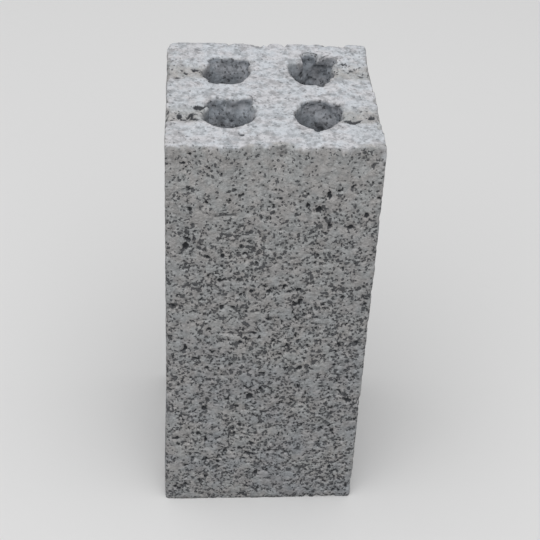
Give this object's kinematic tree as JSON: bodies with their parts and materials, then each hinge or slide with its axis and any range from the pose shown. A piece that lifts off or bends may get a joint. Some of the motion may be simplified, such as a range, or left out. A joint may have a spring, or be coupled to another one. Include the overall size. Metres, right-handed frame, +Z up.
{
  "type": "concrete block",
  "caption": "Rectangular machine-pressed concrete building block, standing on end, with round cores running from its top to its base.",
  "frame": {"origin": "middle of the base, on the surface that the block stands on", "axes": "+Z up along the cores, +X to the right across the front face, +Y from the front face to the back face"},
  "size_m": [0.08, 0.08, 0.18],
  "materials": {
    "concrete": "matte grey concrete, pressed smooth on top, pitted and rough on the sides"
  },
  "bodies": {
    "root": {"concrete_block": "concrete"}
  },
  "joints": []
}
